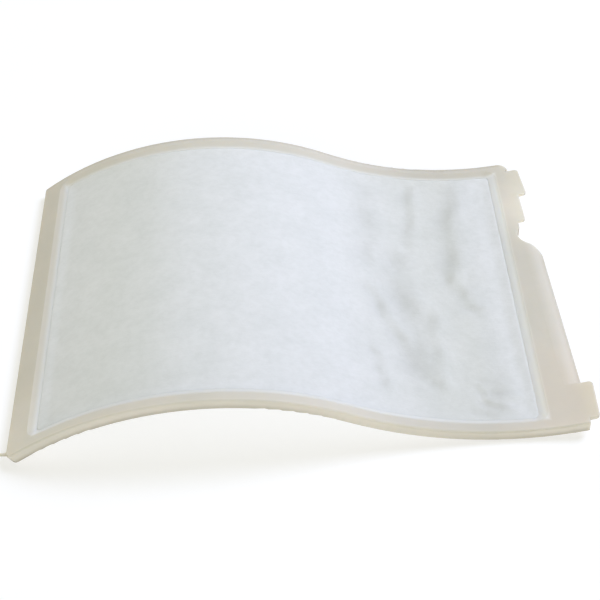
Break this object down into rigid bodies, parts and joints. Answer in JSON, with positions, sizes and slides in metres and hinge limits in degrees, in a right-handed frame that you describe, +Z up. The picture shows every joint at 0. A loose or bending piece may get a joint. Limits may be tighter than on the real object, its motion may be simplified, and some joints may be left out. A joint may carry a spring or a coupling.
{
  "type": "vacuum exhaust filter",
  "caption": "S-curved vacuum cleaner exhaust filter: white felt sheet in a translucent ivory moulded frame with a rolled lip, retaining tabs and a locating notch along one end.",
  "frame": {"origin": "centre of the bounding box's underside, on the surface that the filter lies on", "axes": "+X from the plain left end to the right end with the lip and tabs, +Y across to the back edge, +Z up through the felt"},
  "size_m": [0.1982, 0.15, 0.0251],
  "materials": {
    "frame_plastic": "satin translucent ivory moulding",
    "felt": "white non-woven felt, soft and slightly wrinkled"
  },
  "bodies": {
    "root": {"frame": "frame_plastic", "filter_media": "felt"}
  },
  "joints": []
}
